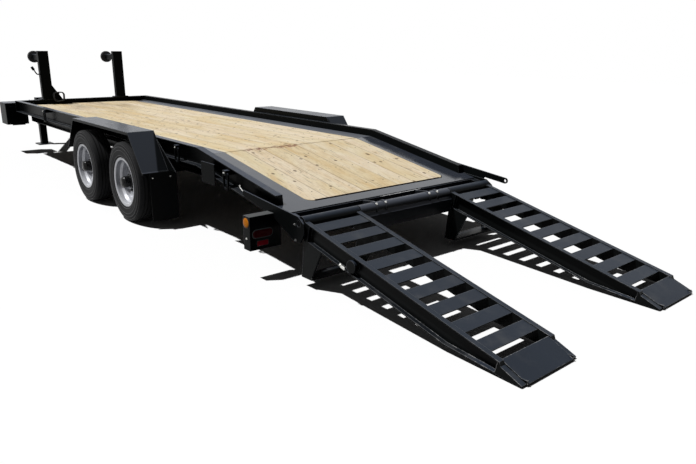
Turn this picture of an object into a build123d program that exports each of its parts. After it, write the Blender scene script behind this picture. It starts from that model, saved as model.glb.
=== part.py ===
import os
from math import atan2, cos, degrees, hypot, sin, tan
from build123d import *

os.makedirs("parts", exist_ok=True)

# Millimetres, +X forward, +Y left, +Z up, ground at Z = 0
SIDES = (("left", 1), ("right", -1))

# Deck: level bed, then a beaver tail that falls to the ramp hinge
BREAK_X = -2095.0
FRONT_X = 3721.0
DECK_Z = 742.0
TAIL_ANGLE = atan2(256.0, 1464.0)
TAIL_X = BREAK_X - 1408.0
TAIL_PLATE_X = BREAK_X - 1338.0
WOOD_TAIL_X = BREAK_X - 1215.0
PLANK_T = 38.0
PLANK_GAP = 3.0
REAR_GAP = 11.0
PLANK_COUNT = 8
TAIL_START = 8.0
WOOD_HALF = 763.0
WOOD_CORNER_R = 70.0
PLATE_T = 8.0
SUBFRAME_Z = DECK_Z - PLANK_T

# Side rails: channels open outwards, whose upper part stands above the deck as a wheel lip
HALF_WIDTH = 1038.0
LIP_H = 70.0
LIP_END_X = BREAK_X - 1190.0
SIDE_DEPTH = 165.0
SIDE_W = 60.0
SIDE_T = 8.0
WEB_Y = HALF_WIDTH - SIDE_W

# Main rails: rolled I sections under the deck
MAIN_Y = 800.0
MAIN_DEPTH = 204.0
MAIN_W = 102.0
MAIN_FLANGE = 11.0
MAIN_WEB = 8.0
TAIL_LOW_Z = 322.0

# Crossmembers: channels let in through the main rails
CROSS_PITCH = 406.0
CROSS_COUNT = 14
CROSS_FIRST_X = BREAK_X + 180.0
CROSS_TAIL_X = (BREAK_X - 260.0, BREAK_X - 660.0, BREAK_X - 1060.0)
CROSS_W = 40.0
CROSS_H = 76.0
CROSS_T = 6.0

# Ramp hinge and ramps: the ramps' own axes start below and behind the hinge pipe
HINGE_X = BREAK_X - 1477.0
HINGE_Z = 463.0
RAMP_X = BREAK_X - 1497.0
RAMP_Z = 435.0
PIN_R = 25.0
PIN_FIT = 0.05
KNUCKLE_R = 44.5
RAMP_ANGLE = atan2(0.2325, 1.0)
RAMP_IN = 510.0
RAMP_OUT = 1020.0
BEAM_W = 38.0
BEAM_DEEP = 132.0
BEAM_T = 8.0
BEAM_TAPER_U = 1360.0
BEAM_END_U = 1715.0
TOE_START_U = 1700.0
TOE_U = 1880.5
SLAT_COUNT = 9
SLAT_FIRST_U = 58.0
SLAT_PITCH = 183.0
SLAT_W = 105.0
SLAT_T = 8.0
SLAT_DROP = 6.0
SLAT_LEG = 34.0

# Wheels
WHEEL_Z = 383.5
WHEEL_Y = 1215.0
AXLE_X = {"front": -49.0, "rear": -1122.0}
TYRE_R = 383.5
TYRE_HALF = 105.5
BEAD_R = 222.5
FLANGE_R = 234.5
SPINDLE_R = 40.0
SPINDLE_FIT = 0.05

# Fenders
FENDER_OUT = 1295.5
FENDER_Z = 868.0
FENDER_T = 6.0
FENDER_TOP_X = (-1267.0, 240.0)
FENDER_FOOT = ((-1545.0, 514.0), (505.0, 522.0))

# Front end
POST_Y = 575.0
POST_TOP_Z = 1542.0
ROLLER_X = 4165.0
ROLLER_Z = 1449.0
JACK_XY = (4635.0, 452.0)
EYE_BORE_R = 38.1
EYE_WIRE = 41.0
EYE_X = 5427.0 - EYE_BORE_R - EYE_WIRE
EYE_Z = 575.0


def side_plane(y):
    return Plane(origin=(0, y, 0), x_dir=(1, 0, 0), z_dir=(0, -1, 0))


def ramp_plane(y):
    along = (-cos(RAMP_ANGLE), 0, -sin(RAMP_ANGLE))
    return Plane(origin=(RAMP_X, y, RAMP_Z), x_dir=along, z_dir=(0, 1, 0))


def bend(depth):
    return (BREAK_X + depth * tan(TAIL_ANGLE / 2), DECK_Z - depth)


def tail(x, depth):
    return (x, DECK_Z - depth / cos(TAIL_ANGLE) + (x - BREAK_X) * tan(TAIL_ANGLE))


tail_plane = Plane(
    origin=(BREAK_X, 0, DECK_Z),
    x_dir=(-cos(TAIL_ANGLE), 0, -sin(TAIL_ANGLE)),
    z_dir=(-sin(TAIL_ANGLE), 0, cos(TAIL_ANGLE)),
)
tail_scale = 1.0 / cos(TAIL_ANGLE)
HINGE_UV = (
    (RAMP_X - HINGE_X) * cos(RAMP_ANGLE) + (RAMP_Z - HINGE_Z) * sin(RAMP_ANGLE),
    (RAMP_X - HINGE_X) * sin(RAMP_ANGLE) - (RAMP_Z - HINGE_Z) * cos(RAMP_ANGLE),
)

# Main rails
main_rails = []
for side, s in SIDES:
    main_end = TAIL_X + 70.0
    with BuildPart() as main_rail:
        with BuildSketch(side_plane(s * MAIN_Y)) as main_outline:
            with BuildLine():
                Polyline(
                    (FRONT_X - SIDE_W, SUBFRAME_Z),
                    bend(PLANK_T),
                    tail(main_end, PLANK_T),
                    (main_end, TAIL_LOW_Z),
                    bend(PLANK_T + MAIN_DEPTH),
                    (FRONT_X - SIDE_W, SUBFRAME_Z - MAIN_DEPTH),
                    close=True,
                )
            make_face()
        extrude(amount=MAIN_W / 2, both=True)
        with BuildSketch(side_plane(s * MAIN_Y)):
            add(main_outline.sketch_local)
            offset(amount=-MAIN_FLANGE, kind=Kind.INTERSECTION, mode=Mode.REPLACE)
        extrude(amount=MAIN_W / 2, both=True, mode=Mode.SUBTRACT)
        extrude(main_outline.sketch, amount=MAIN_WEB / 2, both=True)
    main_rails.append(main_rail.part)
    main_rail.part.label = f"main_rail_{side}"
    export_step(main_rail.part, f"parts/main_rail_{side}.step")

# Side rails with a long hinge plate outside each tail end
HINGE_PLATE = (
    (-755.0, 573.0),
    (-1470.0, 511.0),
    (-1534.0, 470.0),
    (-1540.0, 400.0),
    (-1500.0, 328.0),
    (-1430.0, 320.0),
    (-1190.0, 436.0),
    (-755.0, 531.0),
)
side_rails = []
for side, s in SIDES:
    low_z = DECK_Z + LIP_H - SIDE_DEPTH
    with BuildPart() as side_rail:
        with BuildSketch(side_plane(s * (HALF_WIDTH - SIDE_W / 2))) as rail_outline:
            with BuildLine():
                Polyline(
                    (FRONT_X, DECK_Z + LIP_H),
                    bend(-LIP_H),
                    tail(LIP_END_X, -LIP_H),
                    tail(LIP_END_X - 12.0, PLATE_T),
                    tail(TAIL_X, PLATE_T),
                    (TAIL_X, TAIL_LOW_Z),
                    tail(LIP_END_X, SIDE_DEPTH - LIP_H),
                    bend(SIDE_DEPTH - LIP_H),
                    (FRONT_X, low_z),
                    close=True,
                )
            make_face()
        extrude(amount=SIDE_W / 2, both=True)
        with BuildSketch(side_plane(s * (HALF_WIDTH - SIDE_W / 2 + SIDE_T))):
            add(rail_outline.sketch_local)
            offset(amount=-SIDE_T, kind=Kind.INTERSECTION, mode=Mode.REPLACE)
            with BuildLine():
                Polyline(
                    tail(LIP_END_X + 20.0, SIDE_T - LIP_H),
                    tail(LIP_END_X - 24.0, SIDE_T - LIP_H),
                    tail(LIP_END_X - 24.0, PLATE_T),
                    tail(LIP_END_X + 20.0, PLATE_T),
                    close=True,
                )
            make_face()
        extrude(amount=SIDE_W / 2, both=True, mode=Mode.SUBTRACT)
        with BuildSketch(side_plane(s * (HALF_WIDTH + 4.0))):
            with BuildLine():
                Polyline(*[(BREAK_X + dx, z) for dx, z in HINGE_PLATE], close=True)
            make_face()
            fillet(vertices().sort_by(Axis.X)[:4], 18.0)
            with Locations((HINGE_X, HINGE_Z)):
                Circle(PIN_R, mode=Mode.SUBTRACT)
        extrude(amount=5.0, both=True)
    side_rails.append(side_rail.part)
    side_rail.part.label = f"side_rail_{side}"
    export_step(side_rail.part, f"parts/side_rail_{side}.step")

# Crossmembers
with BuildPart() as crossmembers:
    level_z = SUBFRAME_Z - CROSS_H / 2
    level_spots = [Location((CROSS_FIRST_X + i * CROSS_PITCH, level_z)) for i in range(CROSS_COUNT)]
    tail_spots = [Location(tail(x, PLANK_T + CROSS_H / 2), degrees(TAIL_ANGLE)) for x in CROSS_TAIL_X]
    with BuildSketch(Plane.XZ):
        with Locations(*level_spots, *tail_spots):
            Rectangle(CROSS_W, CROSS_H)
        with Locations(*level_spots, *tail_spots):
            with Locations((CROSS_T, 0)):
                Rectangle(CROSS_W, CROSS_H - 2 * CROSS_T, mode=Mode.SUBTRACT)
    extrude(amount=WEB_Y, both=True)
    for rail in main_rails + side_rails:
        add(rail, mode=Mode.SUBTRACT)
crossmembers.part.label = "crossmembers"
export_step(crossmembers.part, "parts/crossmembers.step")

# Front rail
with BuildPart() as front_rail:
    front_low = DECK_Z + LIP_H - SIDE_DEPTH
    with BuildSketch(Plane.XZ):
        with Locations((FRONT_X - SIDE_W / 2, front_low + SIDE_DEPTH / 2)):
            Rectangle(SIDE_W, SIDE_DEPTH)
            with Locations((-SIDE_T, 0)):
                Rectangle(SIDE_W, SIDE_DEPTH - 2 * SIDE_T, mode=Mode.SUBTRACT)
    extrude(amount=HALF_WIDTH - SIDE_W, both=True)
    for rail in main_rails:
        add(rail, mode=Mode.SUBTRACT)
front_rail.part.label = "front_rail"
export_step(front_rail.part, "parts/front_rail.step")

# Steel edge strips beside the planks, each with a leg turned down along the wood
for side, s in SIDES:
    strip_in = WOOD_HALF + PLANK_GAP
    strip_len = FRONT_X - SIDE_W - BREAK_X
    with BuildPart() as edge_strip:
        with BuildSketch(Plane.YZ.offset(BREAK_X)):
            with BuildLine():
                Polyline(
                    (s * strip_in, DECK_Z),
                    (s * WEB_Y, DECK_Z),
                    (s * WEB_Y, DECK_Z - PLATE_T),
                    (s * (strip_in + PLATE_T), DECK_Z - PLATE_T),
                    (s * (strip_in + PLATE_T), SUBFRAME_Z),
                    (s * strip_in, SUBFRAME_Z),
                    close=True,
                )
            make_face()
        extrude(amount=strip_len)
    edge_strip.part.label = f"edge_strip_{side}"
    export_step(edge_strip.part, f"parts/edge_strip_{side}.step")

# Level deck planks
plank_pitch = 2 * WOOD_HALF / PLANK_COUNT
plank_x0 = BREAK_X + PLANK_GAP
plank_x1 = FRONT_X - SIDE_W - PLANK_GAP
with BuildPart() as deck_planks:
    with BuildSketch(Plane.XY.offset(SUBFRAME_Z)):
        with Locations(((plank_x0 + plank_x1) / 2, 0)):
            with GridLocations(0, plank_pitch, 1, PLANK_COUNT):
                Rectangle(plank_x1 - plank_x0, plank_pitch - PLANK_GAP)
    extrude(amount=PLANK_T)
deck_planks.part.label = "deck_planks"
export_step(deck_planks.part, "parts/deck_planks.step")

# Beaver tail planks with rounded rear corners
wood_len = (BREAK_X - WOOD_TAIL_X) * tail_scale
plate_len = (BREAK_X - TAIL_PLATE_X) * tail_scale
lip_len = (BREAK_X - LIP_END_X + 14.0) * tail_scale
with BuildPart() as tail_planks:
    with BuildSketch(tail_plane.offset(-PLANK_T)):
        with Locations((TAIL_START, 0)):
            Rectangle(wood_len - TAIL_START, 2 * WOOD_HALF, align=(Align.MIN, Align.CENTER))
        fillet(vertices().sort_by(Axis.X)[-2:], WOOD_CORNER_R)
        with GridLocations(0, plank_pitch, 1, PLANK_COUNT - 1):
            Rectangle(2 * wood_len + 10, PLANK_GAP, mode=Mode.SUBTRACT)
    extrude(amount=PLANK_T)
tail_planks.part.label = "tail_planks"
export_step(tail_planks.part, "parts/tail_planks.step")

# Tail plate: one sheet round the tail planks, its cut-out edge turned down
with BuildPart() as tail_plate:
    with BuildSketch(tail_plane, mode=Mode.PRIVATE) as wood_opening:
        Rectangle(wood_len + REAR_GAP, 2 * (WOOD_HALF + PLANK_GAP), align=(Align.MIN, Align.CENTER))
        fillet(vertices().sort_by(Axis.X)[-2:], WOOD_CORNER_R + PLANK_GAP)
    with BuildSketch(tail_plane):
        with Locations((2.0, 0)):
            Rectangle(plate_len - 2.0, 2 * WEB_Y, align=(Align.MIN, Align.CENTER))
        with Locations((lip_len, 0)):
            Rectangle(plate_len - lip_len, 2 * HALF_WIDTH - 4.0, align=(Align.MIN, Align.CENTER))
        add(wood_opening.sketch_local, mode=Mode.SUBTRACT)
    extrude(amount=-PLATE_T)
    edge_len = wood_len + REAR_GAP + PLATE_T - TAIL_START
    with BuildSketch(tail_plane):
        with Locations((TAIL_START, 0)):
            Rectangle(edge_len, 2 * (WOOD_HALF + PLANK_GAP + PLATE_T), align=(Align.MIN, Align.CENTER))
        fillet(vertices().sort_by(Axis.X)[-2:], WOOD_CORNER_R + PLANK_GAP + PLATE_T)
        add(wood_opening.sketch_local, mode=Mode.SUBTRACT)
    extrude(amount=-PLANK_T)
    for rail in side_rails:
        add(rail, mode=Mode.SUBTRACT)
tail_plate.part.label = "tail_plate"
export_step(tail_plate.part, "parts/tail_plate.step")

# Tail beam with its riser, the folded skirt, the fixed middle pipe with its collars, ribs and lugs
with BuildPart() as tail_beam:
    beam_x = TAIL_X + 10.0
    skirt_x = RAMP_X - 38.0
    skirt_low = TAIL_LOW_Z - 4.0
    with BuildSketch(Plane.XZ):
        with Locations((beam_x + 30.0, 384.0)):
            RectangleRounded(60.0, 124.0, 8.0)
            RectangleRounded(46.0, 110.0, 4.0, mode=Mode.SUBTRACT)
        with Locations((TAIL_PLATE_X - 4.0, 470.5)):
            Rectangle(8.0, 57.0)
    extrude(amount=WEB_Y - 2.0, both=True)
    with BuildSketch(Plane.XZ):
        with Locations((HINGE_X, HINGE_Z)):
            Circle(KNUCKLE_R)
        with BuildLine():
            Polyline(
                (HINGE_X - 40.0, HINGE_Z - 16.0),
                (skirt_x, HINGE_Z - 42.0),
                (skirt_x, skirt_low),
                (beam_x + 20.0, skirt_low),
                (beam_x + 20.0, skirt_low + 8.0),
                (skirt_x + 8.0, skirt_low + 8.0),
                (skirt_x + 8.0, HINGE_Z - 46.0),
                (HINGE_X - 30.0, HINGE_Z - 24.0),
                close=True,
            )
        make_face()
    extrude(amount=RAMP_IN - 10.0, both=True)
    for rib_y in (-480.0, -290.0, 0.0, 290.0, 480.0):
        with BuildSketch(side_plane(rib_y)):
            with BuildLine():
                Polyline(
                    (HINGE_X, HINGE_Z + KNUCKLE_R - 14.0),
                    (beam_x + 6.0, 440.0),
                    (beam_x + 6.0, skirt_low + 4.0),
                    (skirt_x + 4.0, skirt_low + 4.0),
                    (skirt_x + 4.0, 414.0),
                    close=True,
                )
            make_face()
        extrude(amount=8.0, both=True)
    for collar_y in (-340.0, -245.0, 245.0, 340.0):
        with BuildSketch(side_plane(collar_y)):
            with Locations((HINGE_X, HINGE_Z)):
                Circle(KNUCKLE_R + 7.0)
        extrude(amount=8.0, both=True)
    for lug_y in (-255.0, 330.0):
        with BuildSketch(side_plane(lug_y)):
            with BuildLine():
                Polyline(
                    (HINGE_X, HINGE_Z + KNUCKLE_R + 7.0),
                    (TAIL_PLATE_X - 4.0, 498.0),
                    (TAIL_PLATE_X - 4.0, 446.0),
                    (HINGE_X, HINGE_Z),
                    close=True,
                )
            make_face()
        extrude(amount=4.0, both=True)
    with BuildSketch(Plane.XZ):
        with Locations((beam_x + 30.0, 384.0)):
            RectangleRounded(46.0, 110.0, 4.0)
        with Locations((HINGE_X, HINGE_Z)):
            Circle(PIN_R)
    extrude(amount=HALF_WIDTH, both=True, mode=Mode.SUBTRACT)
tail_beam.part.label = "tail_beam"
export_step(tail_beam.part, "parts/tail_beam.step")

# Hinge pin through both ramps
with BuildPart() as hinge_pin:
    with BuildSketch(Plane.XZ):
        with Locations((HINGE_X, HINGE_Z)):
            Circle(PIN_R)
    extrude(amount=HALF_WIDTH + 8.0, both=True)
    chamfer(hinge_pin.edges().filter_by(GeomType.CIRCLE), 4.0)
hinge_pin.part.label = "hinge_pin"
export_step(hinge_pin.part, "parts/hinge_pin.step")

# Tongue: two channels that draw together to the hitch
TONGUE_FRONT = (5180.0, 80.0)
TONGUE_REAR = (FRONT_X, 715.0)
for side, s in SIDES:
    run = hypot(TONGUE_FRONT[0] - TONGUE_REAR[0], TONGUE_FRONT[1] - TONGUE_REAR[1])
    nx = (TONGUE_REAR[1] - TONGUE_FRONT[1]) / run
    ny = (TONGUE_FRONT[0] - TONGUE_REAR[0]) / run
    half = 32.0
    with BuildPart() as tongue:
        with BuildSketch(Plane.XY.offset(500.0)) as tongue_plan:
            with BuildLine():
                Polyline(
                    (TONGUE_REAR[0], s * (TONGUE_REAR[1] + half / ny)),
                    (TONGUE_FRONT[0], s * (TONGUE_FRONT[1] + half / ny)),
                    (TONGUE_FRONT[0], s * (TONGUE_FRONT[1] - half / ny)),
                    (TONGUE_REAR[0], s * (TONGUE_REAR[1] - half / ny)),
                    close=True,
                )
            make_face()
        extrude(amount=150.0)
        with BuildSketch(Plane.XY.offset(510.0)):
            with BuildLine():
                Polyline(
                    (TONGUE_REAR[0] - 5, s * (TONGUE_REAR[1] - half / ny + 54.0 + 5 * nx / ny)),
                    (TONGUE_FRONT[0] + 5, s * (TONGUE_FRONT[1] - half / ny + 54.0 - 5 * nx / ny)),
                    (TONGUE_FRONT[0] + 5, s * (TONGUE_FRONT[1] - half / ny - 60.0)),
                    (TONGUE_REAR[0] - 5, s * (TONGUE_REAR[1] - half / ny - 60.0)),
                    close=True,
                )
            make_face()
        extrude(amount=130.0, mode=Mode.SUBTRACT)
    tongue.part.label = f"tongue_{side}"
    export_step(tongue.part, f"parts/tongue_{side}.step")

# Hitch: nose plate, shank and towing eye
with BuildPart() as hitch:
    with BuildSketch(Plane.XZ):
        with Locations((TONGUE_FRONT[0] + 8.0, EYE_Z)):
            Rectangle(16.0, 190.0)
    extrude(amount=135.0, both=True)
    with BuildSketch(Plane.YZ.offset(TONGUE_FRONT[0] + 16.0)):
        with Locations((0, EYE_Z)):
            RectangleRounded(90.0, 90.0, 12.0)
    with BuildSketch(Plane.YZ.offset(EYE_X - EYE_BORE_R - EYE_WIRE / 2)):
        with Locations((0, EYE_Z)):
            RectangleRounded(46.0, 38.0, 12.0)
    loft()
    with BuildSketch(Plane.XZ):
        with Locations((EYE_X + EYE_BORE_R + EYE_WIRE / 2 - 2.0, EYE_Z)):
            Circle(EYE_WIRE / 2)
        with Locations((EYE_X, EYE_Z)):
            Rectangle(2 * EYE_BORE_R, EYE_WIRE, mode=Mode.SUBTRACT)
    revolve(axis=Axis((EYE_X, 0, 0), (0, 0, 1)))
hitch.part.label = "hitch"
export_step(hitch.part, "parts/hitch.step")

# Parking jack on the left tongue channel
with BuildPart() as jack:
    jx, jy = JACK_XY
    with BuildSketch(Plane.XY):
        with Locations((jx, jy)):
            RectangleRounded(250.0, 240.0, 20.0)
    extrude(amount=12.0)
    with BuildSketch(Plane.XY.offset(12.0)):
        with Locations((jx, jy)):
            RectangleRounded(105.0, 105.0, 10.0)
    extrude(amount=400.0)
    with BuildSketch(Plane.XY.offset(340.0)):
        with Locations((jx, jy)):
            RectangleRounded(126.0, 126.0, 10.0)
    extrude(amount=440.0)
    with BuildSketch(Plane.XY.offset(520.0)):
        with BuildLine():
            Polyline((jx - 50, jy - 77), (jx + 50, jy - 120), (jx + 50, jy - 60), (jx - 50, jy - 60), close=True)
        make_face()
    extrude(amount=110.0)
    with BuildSketch(Plane.XZ.offset(-jy)):
        with Locations((jx, 730.0)):
            Circle(14.0)
    extrude(amount=-150.0)
    with BuildSketch(Plane.XZ.offset(-jy - 150.0)):
        with Locations((jx, 690.0)):
            SlotOverall(120.0, 34.0, rotation=90)
    extrude(amount=-10.0)
jack.part.label = "jack"
export_step(jack.part, "parts/jack.step")

# Axle beams with trailing arms, back plates and spindles
for axle_name, wheel_x in AXLE_X.items():
    tube_z = SUBFRAME_Z - MAIN_DEPTH - 52.0
    tube_x = wheel_x + 165.0
    with BuildPart() as axle:
        with BuildSketch(Plane.XZ):
            with Locations((tube_x, tube_z)):
                RectangleRounded(104.0, 104.0, 14.0)
        extrude(amount=1020.0, both=True)
        for s in (1, -1):
            with BuildSketch(side_plane(s * 1037.0)):
                with Locations((tube_x, tube_z)):
                    Circle(62.0)
                with Locations((wheel_x, WHEEL_Z)):
                    Circle(58.0)
                make_hull()
            extrude(amount=17.0, both=True)
            with BuildSketch(side_plane(s * (WHEEL_Y - 124.0))):
                with Locations((wheel_x, WHEEL_Z)):
                    Circle(158.0)
            extrude(amount=5.0, both=True)
            with BuildSketch(side_plane(s * 1054.0)):
                with Locations((wheel_x, WHEEL_Z)):
                    Circle(SPINDLE_R)
            extrude(amount=-s * (WHEEL_Y - 1038.0))
    axle.part.label = f"axle_{axle_name}"
    export_step(axle.part, f"parts/axle_{axle_name}.step")

# Tyres, wheels and hubs
for axle_name, wheel_x in AXLE_X.items():
    for side, s in SIDES:
        wheel_plane = Plane(origin=(wheel_x, s * WHEEL_Y, WHEEL_Z), x_dir=(0, s, 0), z_dir=(s, 0, 0))
        spin = Axis((wheel_x, 0, WHEEL_Z), (0, 1, 0))
        with BuildPart() as tyre:
            with BuildSketch(wheel_plane):
                with BuildLine():
                    Polyline((-84.0, FLANGE_R + 2.0), (-84.0, BEAD_R), (84.0, BEAD_R), (84.0, FLANGE_R + 2.0))
                    ThreePointArc((84.0, FLANGE_R + 2.0), (TYRE_HALF, 300.0), (97.0, 352.0))
                    ThreePointArc((97.0, 352.0), (92.0, 370.0), (80.0, 378.0))
                    ThreePointArc((80.0, 378.0), (0.0, TYRE_R), (-80.0, 378.0))
                    ThreePointArc((-80.0, 378.0), (-92.0, 370.0), (-97.0, 352.0))
                    ThreePointArc((-97.0, 352.0), (-TYRE_HALF, 300.0), (-84.0, FLANGE_R + 2.0))
                make_face()
            revolve(axis=spin)
        tyre.part.label = f"tyre_{axle_name}_{side}"
        export_step(tyre.part, f"parts/tyre_{axle_name}_{side}.step")

        with BuildPart() as wheel:
            with BuildSketch(wheel_plane):
                with BuildLine():
                    Polyline(
                        (97.0, FLANGE_R),
                        (85.0, FLANGE_R),
                        (85.0, BEAD_R - 0.5),
                        (48.0, BEAD_R - 5.0),
                        (30.0, 206.0),
                        (-30.0, 206.0),
                        (-48.0, BEAD_R - 5.0),
                        (-85.0, BEAD_R - 0.5),
                        (-85.0, FLANGE_R),
                        (-97.0, FLANGE_R),
                        (-92.0, 212.0),
                        (-40.0, 196.0),
                        (-24.0, 196.0),
                        (-8.0, 130.0),
                        (-8.0, 70.0),
                        (6.0, 70.0),
                        (6.0, 134.0),
                        (-8.0, 196.0),
                        (30.0, 196.0),
                        (52.0, 211.0),
                        (92.0, 212.0),
                        close=True,
                    )
                make_face()
            revolve(axis=spin)
            with BuildSketch(Plane(origin=(wheel_x, s * WHEEL_Y, WHEEL_Z), x_dir=(1, 0, 0), z_dir=(0, s, 0))):
                with PolarLocations(163.0, 8):
                    Circle(19.0)
            extrude(amount=60.0, both=True, mode=Mode.SUBTRACT)
        wheel.part.label = f"wheel_{axle_name}_{side}"
        export_step(wheel.part, f"parts/wheel_{axle_name}_{side}.step")

        with BuildPart() as hub:
            with BuildSketch(wheel_plane):
                with BuildLine():
                    Polyline(
                        (122.0, 20.0),
                        (122.0, 0.0),
                        (24.0, 0.0),
                        (24.0, SPINDLE_R + SPINDLE_FIT),
                        (-60.0, SPINDLE_R + SPINDLE_FIT),
                        (-60.0, 150.0),
                        (-111.0, 160.0),
                        (-111.0, 172.0),
                        (-52.0, 172.0),
                        (-30.0, 130.0),
                        (-8.3, 130.0),
                        (-8.3, 69.7),
                        (38.0, 66.0),
                        (44.0, 60.0),
                        (44.0, 56.0),
                        (98.0, 54.0),
                    )
                    ThreePointArc((98.0, 54.0), (115.0, 40.0), (122.0, 20.0))
                make_face()
            revolve(axis=spin)
        hub.part.label = f"hub_{axle_name}_{side}"
        export_step(hub.part, f"parts/hub_{axle_name}_{side}.step")

# Fenders: a folded top with sloping ends, an inner wall and the flap bar
for side, s in SIDES:
    (rear_top, front_top) = FENDER_TOP_X
    ((rear_x, rear_z), (front_x, front_z)) = FENDER_FOOT
    y_mid = s * (HALF_WIDTH + FENDER_OUT) / 2
    half_w = (FENDER_OUT - HALF_WIDTH) / 2
    with BuildPart() as fender:
        with BuildSketch(side_plane(y_mid)) as fender_outline:
            with BuildLine():
                Polyline(
                    (rear_x, rear_z),
                    (rear_top, FENDER_Z),
                    (front_top, FENDER_Z),
                    (front_x, front_z),
                    close=True,
                )
            make_face()
        extrude(amount=half_w, both=True)
        with BuildSketch(side_plane(y_mid)):
            with BuildLine():
                Polyline(
                    (rear_x + 8.0, rear_z - 10.0),
                    (rear_top + 4.0, FENDER_Z - FENDER_T),
                    (front_top - 4.0, FENDER_Z - FENDER_T),
                    (front_x - 8.0, front_z - 10.0),
                    close=True,
                )
            make_face()
        extrude(amount=half_w, both=True, mode=Mode.SUBTRACT)
        with BuildSketch(side_plane(s * (HALF_WIDTH + 3.0))):
            add(fender_outline.sketch_local)
            with Locations(((rear_x + front_x) / 2, 200.0)):
                Rectangle(3000.0, 1000.0, mode=Mode.SUBTRACT)
        extrude(amount=3.0, both=True)
        with BuildSketch(side_plane(s * (FENDER_OUT - 3.0))):
            with Locations(((rear_top + front_top) / 2, FENDER_Z - 13.0)):
                Rectangle(front_top - rear_top, 26.0)
        extrude(amount=3.0, both=True)
        with BuildSketch(side_plane(s * (HALF_WIDTH + 3.0))):
            with BuildLine():
                Polyline((rear_top - 38.0, FENDER_Z - 60.0), (rear_x + 18.0, 534.0), (rear_x - 150.0, 534.0), close=True)
            make_face()
        extrude(amount=3.0, both=True)
        with BuildSketch(side_plane(s * 1075.5)):
            with Locations((rear_x + 7.5, rear_z + 6.0)):
                Circle(11.0)
        extrude(amount=220.0, both=True)
    fender.part.label = f"fender_{side}"
    export_step(fender.part, f"parts/fender_{side}.step")

# Rubber mud flaps behind the fenders
for side, s in SIDES:
    ((rear_x, rear_z), _) = FENDER_FOOT
    with BuildPart() as mud_flap:
        with BuildSketch(Plane.YZ.offset(rear_x - 13.5)):
            with Locations((s * 1105.0, 300.0)):
                RectangleRounded(260.0, 450.0, 20.0)
        extrude(amount=9.5)
    mud_flap.part.label = f"mud_flap_{side}"
    export_step(mud_flap.part, f"parts/mud_flap_{side}.step")

# Front posts with the arms and pins of the rollers, the left one with a gusset, a peg and a plug holder
RAIL_TOP = DECK_Z + LIP_H
PEG_YZ = (430.0, 905.0)
PEG_R = 8.0
HANGER_POINTS = ((70.0, 1196.0), (112.0, 1196.0), (150.0, 1262.0))
for side, s in SIDES:
    with BuildPart() as post:
        with BuildSketch(Plane.XY.offset(DECK_Z + LIP_H)):
            with Locations((FRONT_X - SIDE_W / 2, s * POST_Y)):
                Rectangle(110.0, 230.0)
        extrude(amount=12.0)
        with BuildSketch(Plane.XY.offset(DECK_Z + LIP_H + 12.0)):
            with Locations((FRONT_X - SIDE_W / 2, s * POST_Y)):
                RectangleRounded(90.0, 150.0, 8.0)
        extrude(amount=POST_TOP_Z - DECK_Z - LIP_H - 12.0)
        with BuildSketch(Plane.YZ.offset(FRONT_X + 10.0)):
            with Locations((s * POST_Y, ROLLER_Z)):
                RectangleRounded(80.0, 80.0, 8.0)
        extrude(amount=ROLLER_X - 40.0 - FRONT_X - 10.0)
        with BuildSketch(Plane.YZ.offset(ROLLER_X - 40.0)):
            with Locations((s * POST_Y, ROLLER_Z)):
                Circle(15.0)
        extrude(amount=84.0)
        with BuildSketch(Plane.YZ.offset(ROLLER_X + 36.0)):
            with Locations((s * POST_Y, ROLLER_Z)):
                Circle(30.0)
        extrude(amount=8.0)
        if side == "left":
            with BuildSketch(Plane.YZ.offset(FRONT_X - SIDE_W / 2)):
                with BuildLine():
                    Polyline((POST_Y - 70.0, RAIL_TOP), (POST_Y - 70.0, 1050.0), (POST_Y - 225.0, RAIL_TOP), close=True)
                make_face()
            extrude(amount=5.0, both=True)
            with BuildSketch(Plane.YZ.offset(FRONT_X - SIDE_W / 2)):
                with Locations(PEG_YZ):
                    Circle(PEG_R)
            extrude(amount=-110.0)
            with BuildLine() as hanger:
                FilletPolyline(*[(FRONT_X - SIDE_W / 2, POST_Y + dy, z) for dy, z in HANGER_POINTS], radius=22.0)
            with BuildSketch(Plane(origin=hanger.line @ 0, z_dir=hanger.line % 0)):
                Circle(9.0)
            sweep(path=hanger.line)
            with BuildSketch(Plane(origin=hanger.line @ 1, z_dir=hanger.line % 1)):
                Circle(20.0)
            extrude(amount=52.0)
    post.part.label = f"post_{side}"
    export_step(post.part, f"parts/post_{side}.step")

    with BuildPart() as roller:
        with BuildSketch(Plane.XZ.offset(-s * POST_Y)):
            with BuildLine():
                Polyline(
                    (ROLLER_X - 30.0, ROLLER_Z + 15.05),
                    (ROLLER_X - 30.0, ROLLER_Z + 82.0),
                    (ROLLER_X - 22.0, ROLLER_Z + 90.0),
                    (ROLLER_X + 22.0, ROLLER_Z + 90.0),
                    (ROLLER_X + 30.0, ROLLER_Z + 82.0),
                    (ROLLER_X + 30.0, ROLLER_Z + 15.05),
                    close=True,
                )
            make_face()
        revolve(axis=Axis((0, s * POST_Y, ROLLER_Z), (1, 0, 0)))
    roller.part.label = f"roller_{side}"
    export_step(roller.part, f"parts/roller_{side}.step")

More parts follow.
